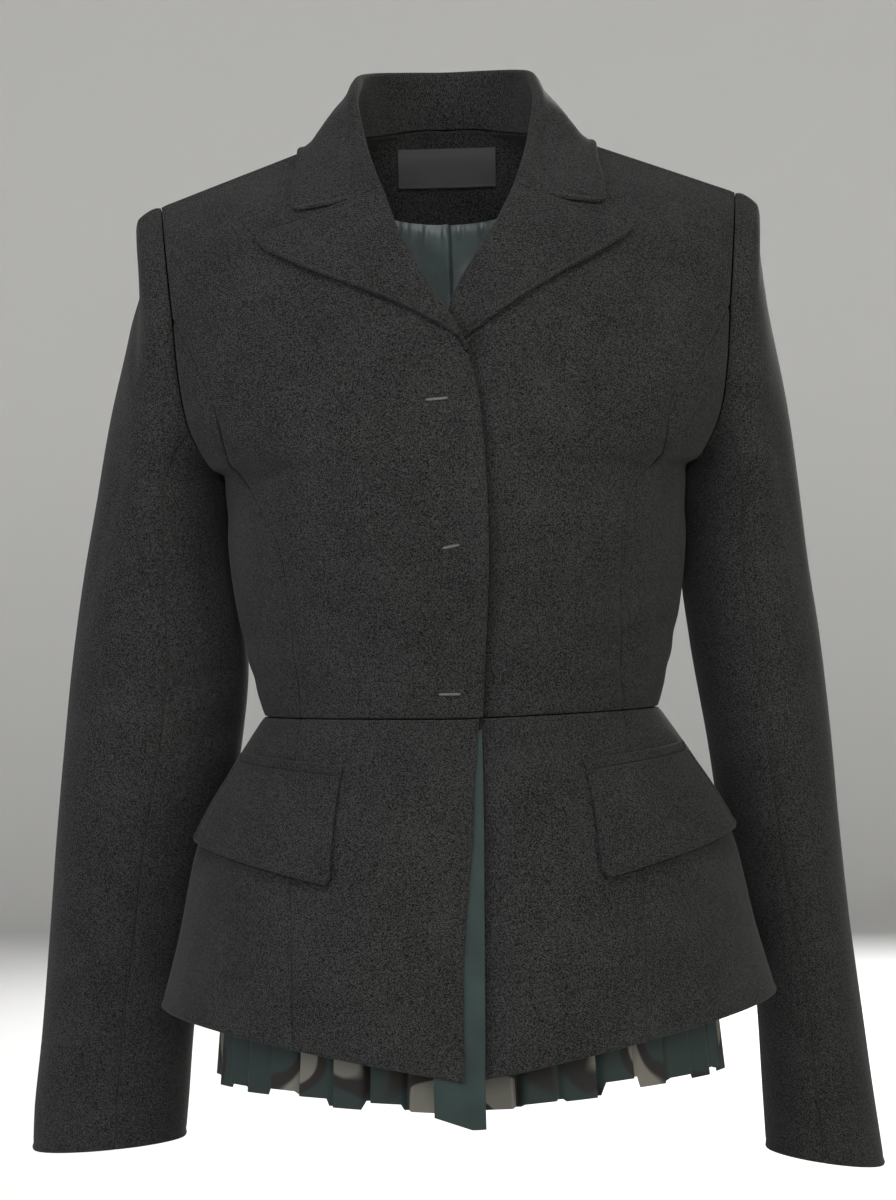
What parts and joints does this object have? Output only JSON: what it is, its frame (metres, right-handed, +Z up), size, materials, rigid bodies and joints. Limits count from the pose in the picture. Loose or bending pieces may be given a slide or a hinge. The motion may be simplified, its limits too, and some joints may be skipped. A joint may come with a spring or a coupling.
{
  "type": "peplum blazer",
  "caption": "Fitted women's blazer in dark wool with notched lapels, a flared peplum with flap pockets, long sleeves and a pleated chiffon layer under the hem.",
  "frame": {"origin": "base of the wearer's neck, midway between the points where the shoulder seams meet the collar", "axes": "+Z up along the body, +X towards the wearer's left, front faces -Y"},
  "size_m": [0.579, 0.2819, 0.7524],
  "materials": {
    "wool": "matte felted wool",
    "satin": "satin lining",
    "chiffon": "pleated chiffon",
    "label": "woven label",
    "thread": "corded thread"
  },
  "bodies": {
    "root": {"front_right": "wool", "side_right": "wool", "back_right": "wool", "lapel_right": "wool", "sleeve_upper_right": "wool", "sleeve_under_right": "wool", "peplum_front_right": "wool", "peplum_side_right": "wool", "peplum_back_right": "wool", "pocket_welt_right": "wool", "pocket_flap_right": "wool", "front_left": "wool", "side_left": "wool", "back_left": "wool", "lapel_left": "wool", "sleeve_upper_left": "wool", "sleeve_under_left": "wool", "peplum_front_left": "wool", "peplum_side_left": "wool", "peplum_back_left": "wool", "pocket_welt_left": "wool", "pocket_flap_left": "wool", "collar": "wool", "neck_facing": "wool", "underskirt_right": "chiffon", "underskirt_left": "chiffon", "underskirt_edge": "chiffon", "back_lining": "satin", "neck_label": "label", "closure_bar_top": "thread", "closure_bar_middle": "thread", "closure_bar_bottom": "thread"}
  },
  "joints": []
}
